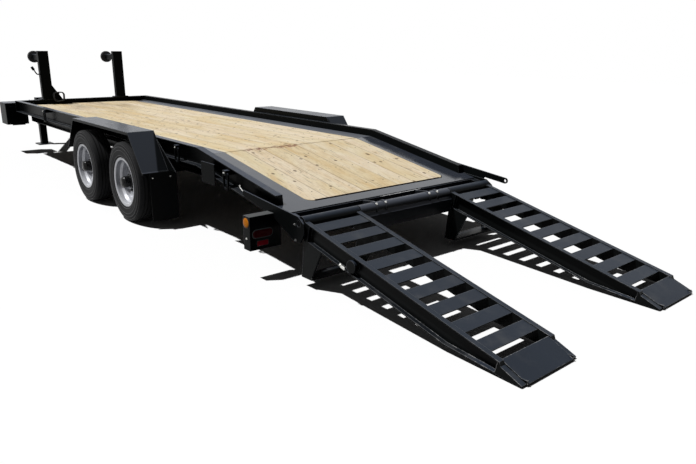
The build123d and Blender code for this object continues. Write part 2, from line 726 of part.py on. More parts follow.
# Lamp boxes and lamps
BOX_X = (BREAK_X - 1176.0, BREAK_X - 1092.0)
BOX_Y = (HALF_WIDTH, 1255.0)
BOX_Z = (225.0, 477.0)
BOX_T = 4.0
BOX_UNDER = (50.0, 430.0)
LAMP_Y = 1150.0
for side, s in SIDES:
    box_mid = ((BOX_X[0] + BOX_X[1]) / 2, s * (BOX_Y[0] + BOX_Y[1]) / 2, (BOX_Z[0] + BOX_Z[1]) / 2)
    with BuildPart() as lamp_box:
        with BuildSketch(Plane.YZ.offset(BOX_X[0])) as box_face:
            with BuildLine():
                Polyline(
                    (s * BOX_Y[1], BOX_Z[0]),
                    (s * BOX_Y[1], BOX_Z[1]),
                    (s * BOX_Y[0], BOX_Z[1]),
                    (s * BOX_Y[0], BOX_UNDER[1]),
                    (s * (BOX_Y[0] - BOX_UNDER[0]), BOX_UNDER[1]),
                    (s * (BOX_Y[0] - BOX_UNDER[0]), BOX_Z[0]),
                    close=True,
                )
            make_face()
        extrude(amount=BOX_X[1] - BOX_X[0])
        with BuildSketch(Plane.YZ.offset(BOX_X[0] + BOX_T)):
            add(box_face.sketch_local)
            offset(amount=-BOX_T, kind=Kind.INTERSECTION, mode=Mode.REPLACE)
        extrude(amount=BOX_X[1] - BOX_X[0], mode=Mode.SUBTRACT)
        for rail in side_rails:
            add(rail, mode=Mode.SUBTRACT)
    lamp_box.part.label = f"lamp_box_{side}"
    export_step(lamp_box.part, f"parts/lamp_box_{side}.step")

    with BuildPart() as lamps:
        with BuildSketch(Plane.YZ.offset(BOX_X[0])):
            with Locations((s * LAMP_Y, 345.0)):
                SlotOverall(178.0, 68.0)
            with Locations((s * LAMP_Y, 272.0)):
                RectangleRounded(100.0, 42.0, 6.0)
        extrude(amount=-10.0)
        with BuildSketch(side_plane(s * 1255.0)):
            with Locations((box_mid[0], 428.0)):
                Circle(32.0)
        extrude(amount=-s * 14.0)
    lamps.part.label = f"lamps_{side}"
    export_step(lamps.part, f"parts/lamps_{side}.step")

# Front box on its bracket
with BuildPart() as front_box:
    with BuildSketch(Plane.XY.offset(447.0)):
        with Locations((3985.0, 1008.0)):
            RectangleRounded(348.0, 308.0, 16.0)
    extrude(amount=312.0)
    with BuildSketch(Plane.XY.offset(759.0)):
        with Locations((3985.0, 1008.0)):
            RectangleRounded(360.0, 320.0, 18.0)
    extrude(amount=14.0)
    with BuildSketch(Plane.YZ.offset(3811.0)):
        with Locations((1008.0, 600.0)):
            RectangleRounded(240.0, 240.0, 20.0)
    extrude(amount=6.0, mode=Mode.SUBTRACT)
    with Locations((3822.0, 1000.0, 441.0)):
        Box(16.0, 180.0, 16.0)
    with Locations((3766.0, 940.0, 700.0)):
        Box(90.0, 80.0, 60.0)
front_box.part.label = "front_box"
export_step(front_box.part, "parts/front_box.step")

# Tie rings in clips along the side rails
RING_SPOTS = ((2205.0, 772.0), (-1755.0, 772.0), (-2605.0, 672.0))
for side, s in SIDES:
    with BuildPart() as tie_rings:
        for ring_x, ring_z in RING_SPOTS:
            with BuildSketch(side_plane(s * (HALF_WIDTH + 12.0))):
                with Locations((ring_x, ring_z - 66.0)):
                    SlotOverall(150.0, 82.0, rotation=90)
                    SlotOverall(118.0, 50.0, rotation=90, mode=Mode.SUBTRACT)
            ring = extrude(amount=8.0, both=True)
            fillet(ring.edges().filter_by(Axis.Y, reverse=True), 5.0)
            with BuildSketch(side_plane(s * (HALF_WIDTH - 12.0))):
                with Locations((ring_x, ring_z)):
                    RectangleRounded(46.0, 40.0, 6.0)
            extrude(amount=40.0, both=True)
    tie_rings.part.label = f"tie_rings_{side}"
    export_step(tie_rings.part, f"parts/tie_rings_{side}.step")

# Flat arm with a pin hole at the right end of the tail
with BuildPart() as tail_arm:
    arm_a = (BREAK_X - 950.0, 603.0)
    arm_b = (BREAK_X - 1663.0, 528.0)
    with BuildSketch(side_plane(-HALF_WIDTH - 15.0)):
        with Locations(arm_a, arm_b):
            Circle(25.0)
        make_hull()
        with BuildLine():
            Polyline((-3285.0, 570.0), (-3548.0, 545.0), (-3520.0, 500.0), (-3285.0, 500.0), close=True)
        make_face()
        with Locations(arm_b):
            Circle(13.0, mode=Mode.SUBTRACT)
    extrude(amount=6.0, both=True)
tail_arm.part.label = "tail_arm"
export_step(tail_arm.part, "parts/tail_arm.step")

# Blank plate hung on the left side rail
with BuildPart() as side_plate:
    with BuildSketch(side_plane(HALF_WIDTH + 4.0)):
        with Locations((BREAK_X - 205.0, 620.0)):
            RectangleRounded(220.0, 178.0, 8.0)
    extrude(amount=4.0, both=True)
side_plate.part.label = "side_plate"
export_step(side_plate.part, "parts/side_plate.step")

# Ramps: channel beams that taper to the toe, legs on a foot plate, joined by a knuckle tube
BEAM_LOW = KNUCKLE_R - BEAM_DEEP
BEAM_TIP = (TOE_U - 8.0, -10.5)
TIP_RISE = (BEAM_TIP[1] - BEAM_LOW) / (BEAM_TIP[0] - BEAM_TAPER_U)
POCKET_U = (64.0, BEAM_END_U - 10.0)
LEG_T = 14.0
LEG_POINTS = ((-3.0, -80.0), (22.0, -357.0), (-86.0, -357.0), (-203.0, -130.0))
BOSS_UV = (533.0, -29.0)
for side, s in SIDES:
    y_start = min(s * RAMP_IN, s * RAMP_OUT)
    with BuildPart() as ramp_frame:
        for beam_in, pocket_in, leg_in in (
            (RAMP_IN, RAMP_IN, RAMP_IN),
            (RAMP_OUT - BEAM_W, RAMP_OUT - BEAM_W + BEAM_T, RAMP_OUT - LEG_T),
        ):
            with BuildSketch(ramp_plane(min(s * beam_in, s * (beam_in + BEAM_W)))):
                with BuildLine():
                    Polyline(
                        (0.0, KNUCKLE_R),
                        (BEAM_END_U, KNUCKLE_R),
                        (BEAM_END_U + 14.0, 24.0),
                        (BEAM_TIP[0], 2.0),
                        BEAM_TIP,
                        (BEAM_TAPER_U, BEAM_LOW),
                        (0.0, BEAM_LOW),
                        close=True,
                    )
                make_face()
                with Locations(HINGE_UV):
                    Circle(KNUCKLE_R)
            extrude(amount=BEAM_W)
            pocket_deep = BEAM_W - BEAM_T
            with BuildSketch(ramp_plane(min(s * pocket_in, s * (pocket_in + pocket_deep)))):
                with BuildLine():
                    Polyline(
                        (POCKET_U[0], KNUCKLE_R - BEAM_T),
                        (POCKET_U[1], KNUCKLE_R - BEAM_T),
                        (POCKET_U[1], BEAM_LOW + BEAM_T + (POCKET_U[1] - BEAM_TAPER_U) * TIP_RISE),
                        (BEAM_TAPER_U, BEAM_LOW + BEAM_T),
                        (POCKET_U[0], BEAM_LOW + BEAM_T),
                        close=True,
                    )
                make_face()
            extrude(amount=pocket_deep, mode=Mode.SUBTRACT)
            with BuildSketch(side_plane(max(s * leg_in, s * (leg_in + LEG_T)))):
                with BuildLine():
                    Polyline(*[(RAMP_X + dx, RAMP_Z + dz) for dx, dz in LEG_POINTS], close=True)
                make_face()
            extrude(amount=LEG_T)
        with BuildSketch(ramp_plane(min(s * (RAMP_OUT - BEAM_W), s * (RAMP_OUT + 6.0)))):
            with Locations(BOSS_UV):
                Circle(42.0)
        extrude(amount=BEAM_W + 6.0)
        with Locations((RAMP_X - 34.0, s * (RAMP_IN + RAMP_OUT) / 2, RAMP_Z - 361.0)):
            Box(120.0, RAMP_OUT - RAMP_IN, 16.0)
        with BuildSketch(ramp_plane(y_start)):
            with Locations(HINGE_UV):
                Circle(KNUCKLE_R)
        extrude(amount=RAMP_OUT - RAMP_IN)
        with BuildSketch(ramp_plane(y_start)):
            with Locations(HINGE_UV):
                Circle(PIN_R + PIN_FIT)
        extrude(amount=RAMP_OUT - RAMP_IN, mode=Mode.SUBTRACT)
    ramp_frame.part.label = f"ramp_frame_{side}"
    export_step(ramp_frame.part, f"parts/ramp_frame_{side}.step")

    slat_in = RAMP_IN + BEAM_W
    slat_len = RAMP_OUT - RAMP_IN - 2 * BEAM_W
    slat_y = min(s * slat_in, s * (slat_in + slat_len))
    with BuildPart() as ramp_slats:
        top = KNUCKLE_R - SLAT_DROP
        with BuildSketch(ramp_plane(slat_y)):
            for i in range(SLAT_COUNT):
                with Locations((SLAT_FIRST_U + i * SLAT_PITCH, top)):
                    Rectangle(SLAT_W, SLAT_T, align=(Align.MIN, Align.MAX))
                    Rectangle(SLAT_T, SLAT_LEG, align=(Align.MIN, Align.MAX))
            with BuildLine():
                Polyline(
                    (TOE_START_U, top),
                    (TOE_U, 6.0),
                    (TOE_U, -8.5),
                    (TOE_U - 10.0, -8.5),
                    (TOE_U - 12.0, -2.0),
                    (TOE_START_U, top - 10.0),
                    close=True,
                )
            make_face()
        extrude(amount=slat_len)
        for tab_y in (slat_y, slat_y + slat_len - 8.0):
            with BuildSketch(ramp_plane(tab_y)):
                with BuildLine():
                    Polyline((TOE_U - 44.0, 13.0), (TOE_U - 5.0, 24.0), (TOE_U - 5.0, 4.0), (TOE_U - 44.0, 8.0), close=True)
                make_face()
            extrude(amount=8.0)
    ramp_slats.part.label = f"ramp_slats_{side}"
    export_step(ramp_slats.part, f"parts/ramp_slats_{side}.step")

# Coiled cable that hangs on the peg of the left post
COIL_R = 8.0
COIL_TURNS = 3
COIL_PITCH = 20.0
coil_x = FRONT_X - SIDE_W / 2 - 68.0
coil_top = PEG_YZ[1] + PEG_R + COIL_R + 0.4
coil_points = [(coil_x, 505.0, 842.0)]
for turn in range(COIL_TURNS):
    x = coil_x - turn * COIL_PITCH
    coil_points += [(x, 508.0, coil_top), (x, 350.0, coil_top), (x, 356.0, 792.0), (x - COIL_PITCH, 500.0, 786.0)]
coil_points.append((coil_x - COIL_TURNS * COIL_PITCH, 512.0, 880.0))
with BuildPart() as cable_coil:
    with BuildLine() as coil_path:
        FilletPolyline(*coil_points, radius=42.0)
    with BuildSketch(Plane(origin=coil_path.line @ 0, z_dir=coil_path.line % 0)):
        Circle(COIL_R)
    sweep(path=coil_path.line)
cable_coil.part.label = "cable_coil"
export_step(cable_coil.part, "parts/cable_coil.step")
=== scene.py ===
import math

import bpy
from mathutils import Matrix, Vector


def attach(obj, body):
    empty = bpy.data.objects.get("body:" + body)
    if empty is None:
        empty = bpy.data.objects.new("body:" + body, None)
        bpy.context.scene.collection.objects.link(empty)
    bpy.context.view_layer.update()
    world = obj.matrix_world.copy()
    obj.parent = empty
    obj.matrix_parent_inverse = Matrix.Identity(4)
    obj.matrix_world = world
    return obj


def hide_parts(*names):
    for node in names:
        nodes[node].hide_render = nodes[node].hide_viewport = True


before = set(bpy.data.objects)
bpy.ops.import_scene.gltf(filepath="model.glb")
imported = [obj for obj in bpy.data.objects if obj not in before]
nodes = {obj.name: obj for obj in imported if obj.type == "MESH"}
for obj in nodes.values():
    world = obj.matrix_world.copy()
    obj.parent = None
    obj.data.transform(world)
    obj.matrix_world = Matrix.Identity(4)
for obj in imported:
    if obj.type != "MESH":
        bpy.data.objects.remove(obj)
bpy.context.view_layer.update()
bpy.ops.object.select_all(action="DESELECT")
print("frame loaded:", len(nodes), "nodes")

# places that several pieces and finishes share
sides = (("left", 1.0), ("right", -1.0))
wheelSpots = {"front": -0.049, "rear": -1.122}  # X of each axle
wheelY, wheelZ = 1.215, 0.3835
breakX = -2.095  # where the deck turns down to the tail
plankPitch = 0.19075


# shader maths: a socket that can be added, multiplied and so on
class Sock:
    def __init__(self, tree, out):
        self.tree = tree
        self.out = out

    def math(self, op, a, b=0.0):
        return node(self.tree, "ShaderNodeMath", {"operation": op}, {0: a, 1: b})

    def __add__(self, other):
        return self.math("ADD", self, other)

    def __radd__(self, other):
        return self.math("ADD", other, self)

    def __sub__(self, other):
        return self.math("SUBTRACT", self, other)

    def __rsub__(self, other):
        return self.math("SUBTRACT", other, self)

    def __mul__(self, other):
        return self.math("MULTIPLY", self, other)

    def __rmul__(self, other):
        return self.math("MULTIPLY", other, self)

    def __truediv__(self, other):
        return self.math("DIVIDE", self, other)

    def __rtruediv__(self, other):
        return self.math("DIVIDE", other, self)

    def sin(self):
        return self.math("SINE", self)

    def sqrt(self):
        return self.math("SQRT", self)

    def floor(self):
        return self.math("FLOOR", self)

    def fract(self):
        return self.math("FRACT", self)

    def abs(self):
        return self.math("ABSOLUTE", self)

    def max(self, other):
        return self.math("MAXIMUM", self, other)

    def above(self, low, high):  # 0 under low, 1 over high
        return node(self.tree, "ShaderNodeMapRange", {"interpolation_type": "SMOOTHSTEP"},
                    {"Value": self, "From Min": low, "From Max": high, "To Min": 0.0, "To Max": 1.0})

    def below(self, low, high):  # 1 under low, 0 over high
        return 1.0 - self.above(low, high)


# any node: its type, its settings, then the values or links of its sockets
def node(tree, kind, settings=None, sockets=None, output=0):
    made = tree.nodes.new(kind)
    for key, value in (settings or {}).items():
        setattr(made, key, value)
    for key, value in (sockets or {}).items():
        if isinstance(value, Sock):
            tree.links.new(value.out, made.inputs[key])
        else:
            if isinstance(value, tuple) and len(value) == 3 and made.inputs[key].type == "RGBA":
                value = (*value, 1.0)
            made.inputs[key].default_value = value
    return Sock(tree, made.outputs[output])


# a material: its shader's sockets by name, and the patterns that feed them
class Finish:
    def __init__(self, name, colour, roughness, metallic=0.0, **fixed):
        self.mat = bpy.data.materials.new(name)
        self.mat.use_nodes = True
        self.tree = self.mat.node_tree
        self.shader = self.tree.nodes["Principled BSDF"]
        self.mat.diffuse_color = (*colour, 1.0)
        self.set("Base Color", colour)
        self.set("Roughness", roughness)
        self.set("Metallic", metallic)
        for key, value in fixed.items():
            self.set(key.replace("_", " "), value)
        self.place = self.node("ShaderNodeTexCoord", output=3)

    def node(self, kind, settings=None, sockets=None, output=0):
        return node(self.tree, kind, settings, sockets, output)

    def set(self, key, value):
        socket = self.shader.inputs[key]
        if isinstance(value, Sock):
            self.tree.links.new(value.out, socket)
        elif socket.type == "RGBA":
            socket.default_value = (*value, 1.0)
        else:
            socket.default_value = value

    def split(self, vector):
        parts = self.node("ShaderNodeSeparateXYZ", {}, {0: vector}).out.node.outputs
        return [Sock(self.tree, parts[i]) for i in range(3)]

    def scaled(self, size, where=None):
        return self.node("ShaderNodeMapping", {}, {"Vector": where or self.place, "Scale": size})

    def noise(self, scale, detail=4.0, where=None, rough=0.5, twist=0.0):
        return self.node("ShaderNodeTexNoise", {}, {"Vector": where or self.place, "Scale": scale,
                                                    "Detail": detail, "Roughness": rough, "Distortion": twist})

    def cells(self, where):  # distance to scattered points, and a number for each point
        made = self.node("ShaderNodeTexVoronoi", {}, {"Vector": where, "Scale": 1.0}).out.node.outputs
        return Sock(self.tree, made["Distance"]), self.split(Sock(self.tree, made["Color"]))[0]

    def pick(self, number):  # a value from 0 to 1 that belongs to this number
        return self.node("ShaderNodeTexWhiteNoise", {"noise_dimensions": "1D"}, {"W": number})

    def mix(self, factor, a, b):
        return self.node("ShaderNodeMix", {"data_type": "RGBA"}, {"Factor": factor, 6: a, 7: b}, 2)

    def bump(self, height, strength, distance, **over):
        sockets = {"Strength": strength, "Distance": distance, "Height": height, **over}
        self.set("Normal", self.node("ShaderNodeBump", {}, sockets))

    def upward(self):  # 1 on faces that look at the sky
        return self.split(self.node("ShaderNodeTexCoord", output=1))[2]

    def corners(self, radius):  # the normal of rounded edges, and how near an edge is
        soft = self.node("ShaderNodeBevel", {"samples": 6}, {"Radius": radius})
        flat = self.node("ShaderNodeNewGeometry", output=1)
        same = self.node("ShaderNodeVectorMath", {"operation": "DOT_PRODUCT"}, {0: soft, 1: flat}, 1)
        return soft, 1.0 - same


# black chassis paint: near black on upright faces, a painted sky sheen in slate on the faces that look up,
# painted shade on the lower flanges, the right lip, the fenders' inner corner and the ramps' undersides,
# then dust, runs, chips, and rubbed edges that are wear and painted highlight
paintLook = {"black": (0.0052, 0.0060, 0.0062), "dust": (0.13, 0.13, 0.13), "rubAndGlint": (0.25, 0.26, 0.28),
             "chip": (0.17, 0.165, 0.16), "rust": (0.10, 0.035, 0.015), "edge": 0.006,
             # painted shade: the lower flanges and the right lip lose the sky sheen
             "fall": 0.175, "flangeZ": (0.685, 0.715), "lipY": (-0.965, -0.945),  # lower flanges, right lip
             # painted shade on the inner corner of the fenders' rear slope
             "cavityShadeX": (-1.29, -1.275), "cavityShade": (1.047, 0.868, 0.302),  # inner corner of the fenders' slope
             "scuff": (0.42, 0.42, 0.42), "scuffZ": (0.05, 0.17),  # where the ramps touch the ground
             # painted shade on the ramps' parts below their top plane
             "rampX": -3.592, "rampZ": 0.435, "rampFall": (0.2265, 0.974), "rampLow": (-0.062, -0.045)}


def paintFinish(name, skySheen, level, roughness, dusty, chipped, rubbedAndGlint, reach=(0.25, 0.97), shaded=0.0,
                scuffed=0.0, cavityShaded=0.0, shadedBelow=0.0, tint=(1.0, 1.0, 1.0)):
    look = paintLook
    f = Finish(name, look["black"], roughness, Specular_IOR_Level=level, Specular_Tint=tint)
    soft, corner = f.corners(look["edge"])
    cloud = f.noise(1.7, 5.0)  # over a whole panel
    patch = f.noise(6.5, 4.0)  # the size of a hand
    peel = f.noise(240.0, 2.0)  # orange peel
    runs = f.noise(1.0, 5.0, f.scaled((7.0, 7.0, 0.9)))  # drawn out downwards
    up = f.upward()
    x, y, z = f.split(f.place)
    height = z + (breakX - x).max(0.0) * look["fall"]  # as if the tail were level
    # painted shade: no sheen on the lower flanges and the right lip
    shade = height.below(*look["flangeZ"]).max(y.below(*look["lipY"])) * shaded
    # painted shade: a dark triangle on the inner corner of the fenders' rear slope
    inner, top, slant = look["cavityShade"]
    cavityShade = (y.abs() - inner - (top - z) * slant).below(-0.012, 0.006) * x.below(*look["cavityShadeX"]) * cavityShaded
    # painted shade: the ramps lose the sheen below their top plane
    fall, rise = look["rampFall"]
    belowShade = ((look["rampX"] - x) * fall + (z - look["rampZ"]) * rise).below(*look["rampLow"]) * shadedBelow
    # painted sky sheen: the slate colour on the faces that look up
    paintedSheen = up.above(*reach) * (0.75 + cloud * 0.4) * (1.0 - shade) * (1.0 - cavityShade) * (1.0 - belowShade)
    settle = up.above(0.6, 0.98) * patch.above(0.48, 0.85) * dusty
    streak = runs.above(0.62, 0.86) * up.abs().below(0.2, 0.6) * 0.08 * dusty
    chips = f.noise(70.0, 6.0, rough=0.72).above(0.735, 0.775) * chipped
    rust = f.noise(23.0, 5.0, rough=0.65).above(0.735, 0.80) * chipped * 0.6
    # rubbed edges: edge wear and a painted highlight along every edge
    wearAndGlint = corner.above(0.02, 0.22) * rubbedAndGlint * (0.35 + patch * 0.9)
    broken = f.noise(34.0, 4.0).above(0.46, 0.60)
    scuffs = corner.above(0.01, 0.15) * z.below(*look["scuffZ"]) * broken * scuffed
    base = f.mix(paintedSheen, look["black"], skySheen)
    dusted = f.mix(settle + streak, base, look["dust"])
    edged = f.mix(wearAndGlint, dusted, look["rubAndGlint"])
    rusted = f.mix(rust, edged, look["rust"])
    f.set("Base Color", f.mix(scuffs, f.mix(chips, rusted, look["chip"]), look["scuff"]))
    f.set("Roughness", roughness + (cloud - 0.5) * 0.12 + settle * 0.3 + streak * 0.8 + (peel - 0.5) * 0.05)
    f.bump(peel * 0.6 + patch * 0.25 - chips * 0.8, 0.08, 0.0015, Normal=soft)
    return f.mat


# the first colour of each paint is the painted sky sheen on its upward faces
framePaint = paintFinish("framePaint", (0.076, 0.087, 0.112), level=0.014, roughness=0.25, dusty=0.30,
                         chipped=0.20, rubbedAndGlint=0.55, shaded=0.85)
deckPaint = paintFinish("deckPaint", (0.037, 0.043, 0.058), level=0.42, roughness=0.13, dusty=0.30,
                        chipped=0.30, rubbedAndGlint=0.60, tint=(0.88, 0.94, 1.0))
stripPaint = paintFinish("stripPaint", (0.140, 0.150, 0.172), level=0.04, roughness=0.30, dusty=0.40,
                         chipped=0.30, rubbedAndGlint=0.55)
fenderPaint = paintFinish("fenderPaint", (0.066, 0.075, 0.094), level=0.02, roughness=0.22, dusty=0.35,
                          chipped=0.35, rubbedAndGlint=0.60, reach=(0.1, 0.85), cavityShaded=0.9)
boxPaint = paintFinish("boxPaint", (0.125, 0.130, 0.132), level=0.03, roughness=0.22, dusty=0.30,
                       chipped=0.25, rubbedAndGlint=0.60)
pipePaint = paintFinish("pipePaint", (0.085, 0.095, 0.120), level=0.05, roughness=0.25, dusty=0.30,
                        chipped=0.20, rubbedAndGlint=0.55, reach=(-0.25, 0.75))
rampPaint = paintFinish("rampPaint", (0.030, 0.038, 0.053), level=0.04, roughness=0.33, dusty=0.30,
                        chipped=0.60, rubbedAndGlint=0.70, scuffed=1.0, shadedBelow=0.8)


# pine planks: a tone for each plank, growth rings cut lengthwise, knots, cracks, soiled seams,
# stains at the break
plankLook = {"pale": (0.770, 0.705, 0.505), "pink": (0.810, 0.710, 0.560), "warm": (0.665, 0.480, 0.245),
             "line": (0.455, 0.320, 0.175), "knot": (0.105, 0.062, 0.036), "stain": (0.22, 0.075, 0.045),
             "soil": (0.27, 0.205, 0.135), "stainY": (-0.10, 0.66), "stainSoft": 0.15, "frontX": (0.8, 3.6),
             "knots": 0.95, "specks": 0.90, "dashes": 0.62, "cracks": 0.50, "halos": 0.40,
             "seams": 0.55, "smears": 0.14, "tracks": 0.70, "blots": 0.9}


def plankFinish():
    look = plankLook
    f = Finish("pinePlanks", look["pale"], 0.66, Specular_IOR_Level=0.12)
    x, y = f.split(f.place)[:2]
    board = (y / plankPitch).floor()
    shift = f.node("ShaderNodeCombineXYZ", {}, {0: board * 3.71, 1: board * 0.37, 2: board * 1.3})
    moved = f.node("ShaderNodeVectorMath", {"operation": "ADD"}, {0: f.place, 1: shift})  # no two planks alike
    tone = f.pick(board + 0.5)
    hue = f.pick(board + 9.5)
    big, bigPick = f.cells(f.scaled((3.0, 5.2, 0.001), moved))
    small, smallPick = f.cells(f.scaled((9.5, 13.0, 0.001), moved))
    dash, dashPick = f.cells(f.scaled((4.2, 52.0, 0.001), moved))
    chosen = bigPick.above(0.50, 0.54)  # half of the points bear a knot
    rings = f.noise(1.0, 5.0, f.scaled((0.55, 26.0, 26.0), moved), 0.6, 0.4)
    lines = ((rings * 34.0 + big.below(0.02, 0.30) * chosen * 14.0).sin() * 0.5 + 0.5).above(0.35, 0.95)
    fibre = f.noise(1.0, 4.0, f.scaled((5.0, 300.0, 300.0), moved), 0.6)
    broad = f.noise(1.0, 4.0, f.scaled((0.9, 9.0, 9.0), moved), 0.6, 0.8)
    crack = f.noise(1.0, 3.0, f.scaled((3.4, 70.0, 70.0), moved), 0.5).above(0.655, 0.720)
    ragged = f.noise(31.0, 3.0, moved)
    knots = big.below(0.055, 0.125) * ragged.above(0.28, 0.48) * chosen
    specks = small.below(0.110, 0.240) * smallPick.above(0.66, 0.70)
    dashes = dash.below(0.120, 0.300) * dashPick.above(0.66, 0.70)
    halo = big.below(0.05, 0.24) * chosen
    patch = f.noise(1.0, 3.0, f.scaled((0.9, 2.6, 2.6), moved), 0.5, 0.6)
    base = f.mix(patch.above(0.38, 0.62) * 0.8 + hue * 0.2, look["pale"], look["pink"])
    sappy = broad.above(0.36, 0.74) * 0.42 + patch.below(0.34, 0.54) * 0.38 + tone * 0.16
    toned = f.mix(sappy, base, look["warm"])
    lined = f.mix(lines * (0.12 + tone * 0.20) + fibre.above(0.52, 0.8) * 0.16, toned, look["line"])
    warmed = f.mix(halo * look["halos"], lined, look["warm"])
    flaws = (knots * look["knots"]).max(specks * look["specks"]).max(dashes * look["dashes"])
    knotted = f.mix(flaws.max(crack * look["cracks"]), warmed, look["knot"])
    gap = f.pick((y / plankPitch + 0.5).floor() + 4.5)  # some seams are wider than others
    seam = ((y / plankPitch).fract() - 0.5).abs().above(0.468, 0.490) * (0.15 + gap * 0.95)
    smear = f.noise(1.3, 5.0).above(0.60, 0.85)
    tracked = x.above(*look["frontX"]) * f.noise(1.0, 5.0, f.scaled((1.2, 5.0, 5.0))).above(0.42, 0.75)
    soiled = seam * look["seams"] + smear * look["smears"] + tracked * look["tracks"]
    dirty = f.mix(soiled, knotted, look["soil"])
    band = (x - breakX).abs() + f.noise(9.0, 4.0) * 0.06
    first, last = look["stainY"]
    crossing = y.above(first, first + look["stainSoft"]) * y.below(last - look["stainSoft"], last)
    blots = band.below(0.055, 0.095) * crossing * f.noise(27.0, 3.0).above(0.45, 0.58) * look["blots"]
    f.set("Base Color", f.mix(blots, dirty, look["stain"]))
    f.set("Roughness", 0.58 + lines * 0.08 + fibre * 0.12)
    f.bump(lines * 0.35 + fibre * 0.7 - knots * 0.5 - specks * 0.4 - crack * 0.8, 0.30, 0.002)
    return f.mat


pinePlanks = plankFinish()


# rubber: a dusty bloom and a fine grain
def rubberFinish(name, colour, dust, dusty, grain, level):
    f = Finish(name, colour, 0.66, Specular_IOR_Level=level)
    cloud = f.noise(6.0, 5.0)
    fine = f.noise(grain, 4.0)
    f.set("Base Color", f.mix(cloud.above(0.40, 0.82) * dusty + fine.above(0.55, 0.75) * 0.08, colour, dust))
    f.set("Roughness", 0.56 + fine * 0.22 + cloud * 0.10)
    f.bump(fine, 0.22, 0.0015)
    return f.mat


# tyres: dark rubber, light rings on the sidewall ridges that are scuffs and painted highlight, painted shade
# in its valleys and in the grooves of the tread
tyreLook = {"black": (0.0120, 0.0122, 0.0130), "dust": (0.046, 0.045, 0.044), "scuff": (0.27, 0.27, 0.275),
            "deep": (0.0012, 0.0012, 0.0013), "rings": (0.2545, 0.3040, 0.3352, 0.3578),
            "valleys": (0.2595, 0.3085, 0.3395, 0.3510), "grooves": (0.018, 0.052), "treadR": 0.362}


def tyreFinish():
    look = tyreLook
    f = Finish("tyreRubber", look["black"], 0.6, Specular_IOR_Level=0.10)
    x, y, z = f.split(f.place)
    axles = wheelSpots.values()
    along = (x - sum(axles) / 2).abs() - (max(axles) - min(axles)) / 2  # from the nearer axle
    high = z - wheelZ
    r = (along * along + high * high).sqrt()
    across = (y.abs() - wheelY).abs()
    cloud = f.noise(6.0, 5.0)
    fine = f.noise(190.0, 4.0)
    scuffs, valleyShade = 0.0, 0.0
    # light rings on the ridges: scuffs and painted highlight; painted shade in the valleys between them
    for ring, valley in zip(look["rings"], look["valleys"]):
        scuffs = (r - ring).abs().below(0.0010, 0.0032) + scuffs
        valleyShade = (r - valley).abs().below(0.0014, 0.0038) + valleyShade
    tread = r.above(look["treadR"], look["treadR"] + 0.004)
    # painted shade in the grooves of the tread
    for groove in look["grooves"]:
        valleyShade = (across - groove).abs().below(0.0040, 0.0062) * tread + valleyShade
    bloom = cloud.above(0.42, 0.82) * 0.35 + fine.above(0.55, 0.75) * 0.08
    dusty = f.mix(bloom, look["black"], look["dust"])
    scuffed = f.mix(scuffs * (0.30 + cloud * 0.5), dusty, look["scuff"])
    f.set("Base Color", f.mix(valleyShade * 0.85, scuffed, look["deep"]))
    f.set("Roughness", 0.52 + fine * 0.22 + cloud * 0.10)
    f.bump(fine, 0.22, 0.0015)
    return f.mat


tyreRubber = tyreFinish()
flapRubber = rubberFinish("flapRubber", (0.0020, 0.0024, 0.0026), (0.024, 0.023, 0.022),
                          dusty=0.25, grain=120.0, level=0.05)
rollerRubber = rubberFinish("rollerRubber", (0.010, 0.010, 0.011), (0.05, 0.048, 0.045),
                            dusty=0.35, grain=150.0, level=0.30)
cableSheath = rubberFinish("cableSheath", (0.007, 0.007, 0.008), (0.045, 0.043, 0.040),
                           dusty=0.25, grain=260.0, level=0.40)
# near black for the strip of painted shade behind the tail planks
seamShadeStrip = rubberFinish("seamShadeStrip", (0.006, 0.0042, 0.0036), (0.020, 0.012, 0.009),
                        dusty=0.4, grain=120.0, level=0.0)

# silver wheel paint: fine flake, road film and soot
wheelLook = {"silver": (0.78, 0.79, 0.82), "flakes": ((0.50, 0.51, 0.54), (0.61, 0.62, 0.65)),
             "soot": (0.27, 0.265, 0.26), "sooty": 0.38, "film": 0.25, "metallic": 0.28, "level": 0.25}


def wheelFinish():
    look = wheelLook
    f = Finish("wheelPaint", look["silver"], 0.38, look["metallic"], Specular_IOR_Level=look["level"])
    flake = f.noise(950.0, 1.0)
    cloud = f.noise(8.0, 5.0)
    soot = cloud.above(0.46, 0.82)
    film = f.noise(30.0, 4.0).above(0.5, 0.8) * look["film"]
    silver = f.mix(flake.above(0.4, 0.6), *look["flakes"])
    f.set("Base Color", f.mix(soot * look["sooty"] + film, silver, look["soot"]))
    f.set("Roughness", 0.32 + soot * 0.22 + film * 0.3)
    f.bump(flake * 0.5 + cloud * 0.5, 0.05, 0.0006)
    return f.mat


wheelPaint = wheelFinish()


# glossy enamel and bare metal: faint scratches and smears
def glossFinish(name, colour, smear, roughness, metallic=0.0, level=0.5):
    f = Finish(name, colour, roughness, metallic, Specular_IOR_Level=level)
    cloud = f.noise(15.0, 4.0)
    scratch = f.noise(1.0, 3.0, f.scaled((40.0, 420.0, 420.0)), 0.6).above(0.62, 0.75)
    fine = f.noise(200.0, 3.0)
    f.set("Base Color", f.mix(cloud.above(0.48, 0.80) * 0.45 + scratch * 0.2, colour, smear))
    f.set("Roughness", roughness + (cloud - 0.4) * 0.16 + scratch * 0.1)
    f.bump(fine * 0.6 + scratch * 0.4, 0.05, 0.0006)
    return f.mat


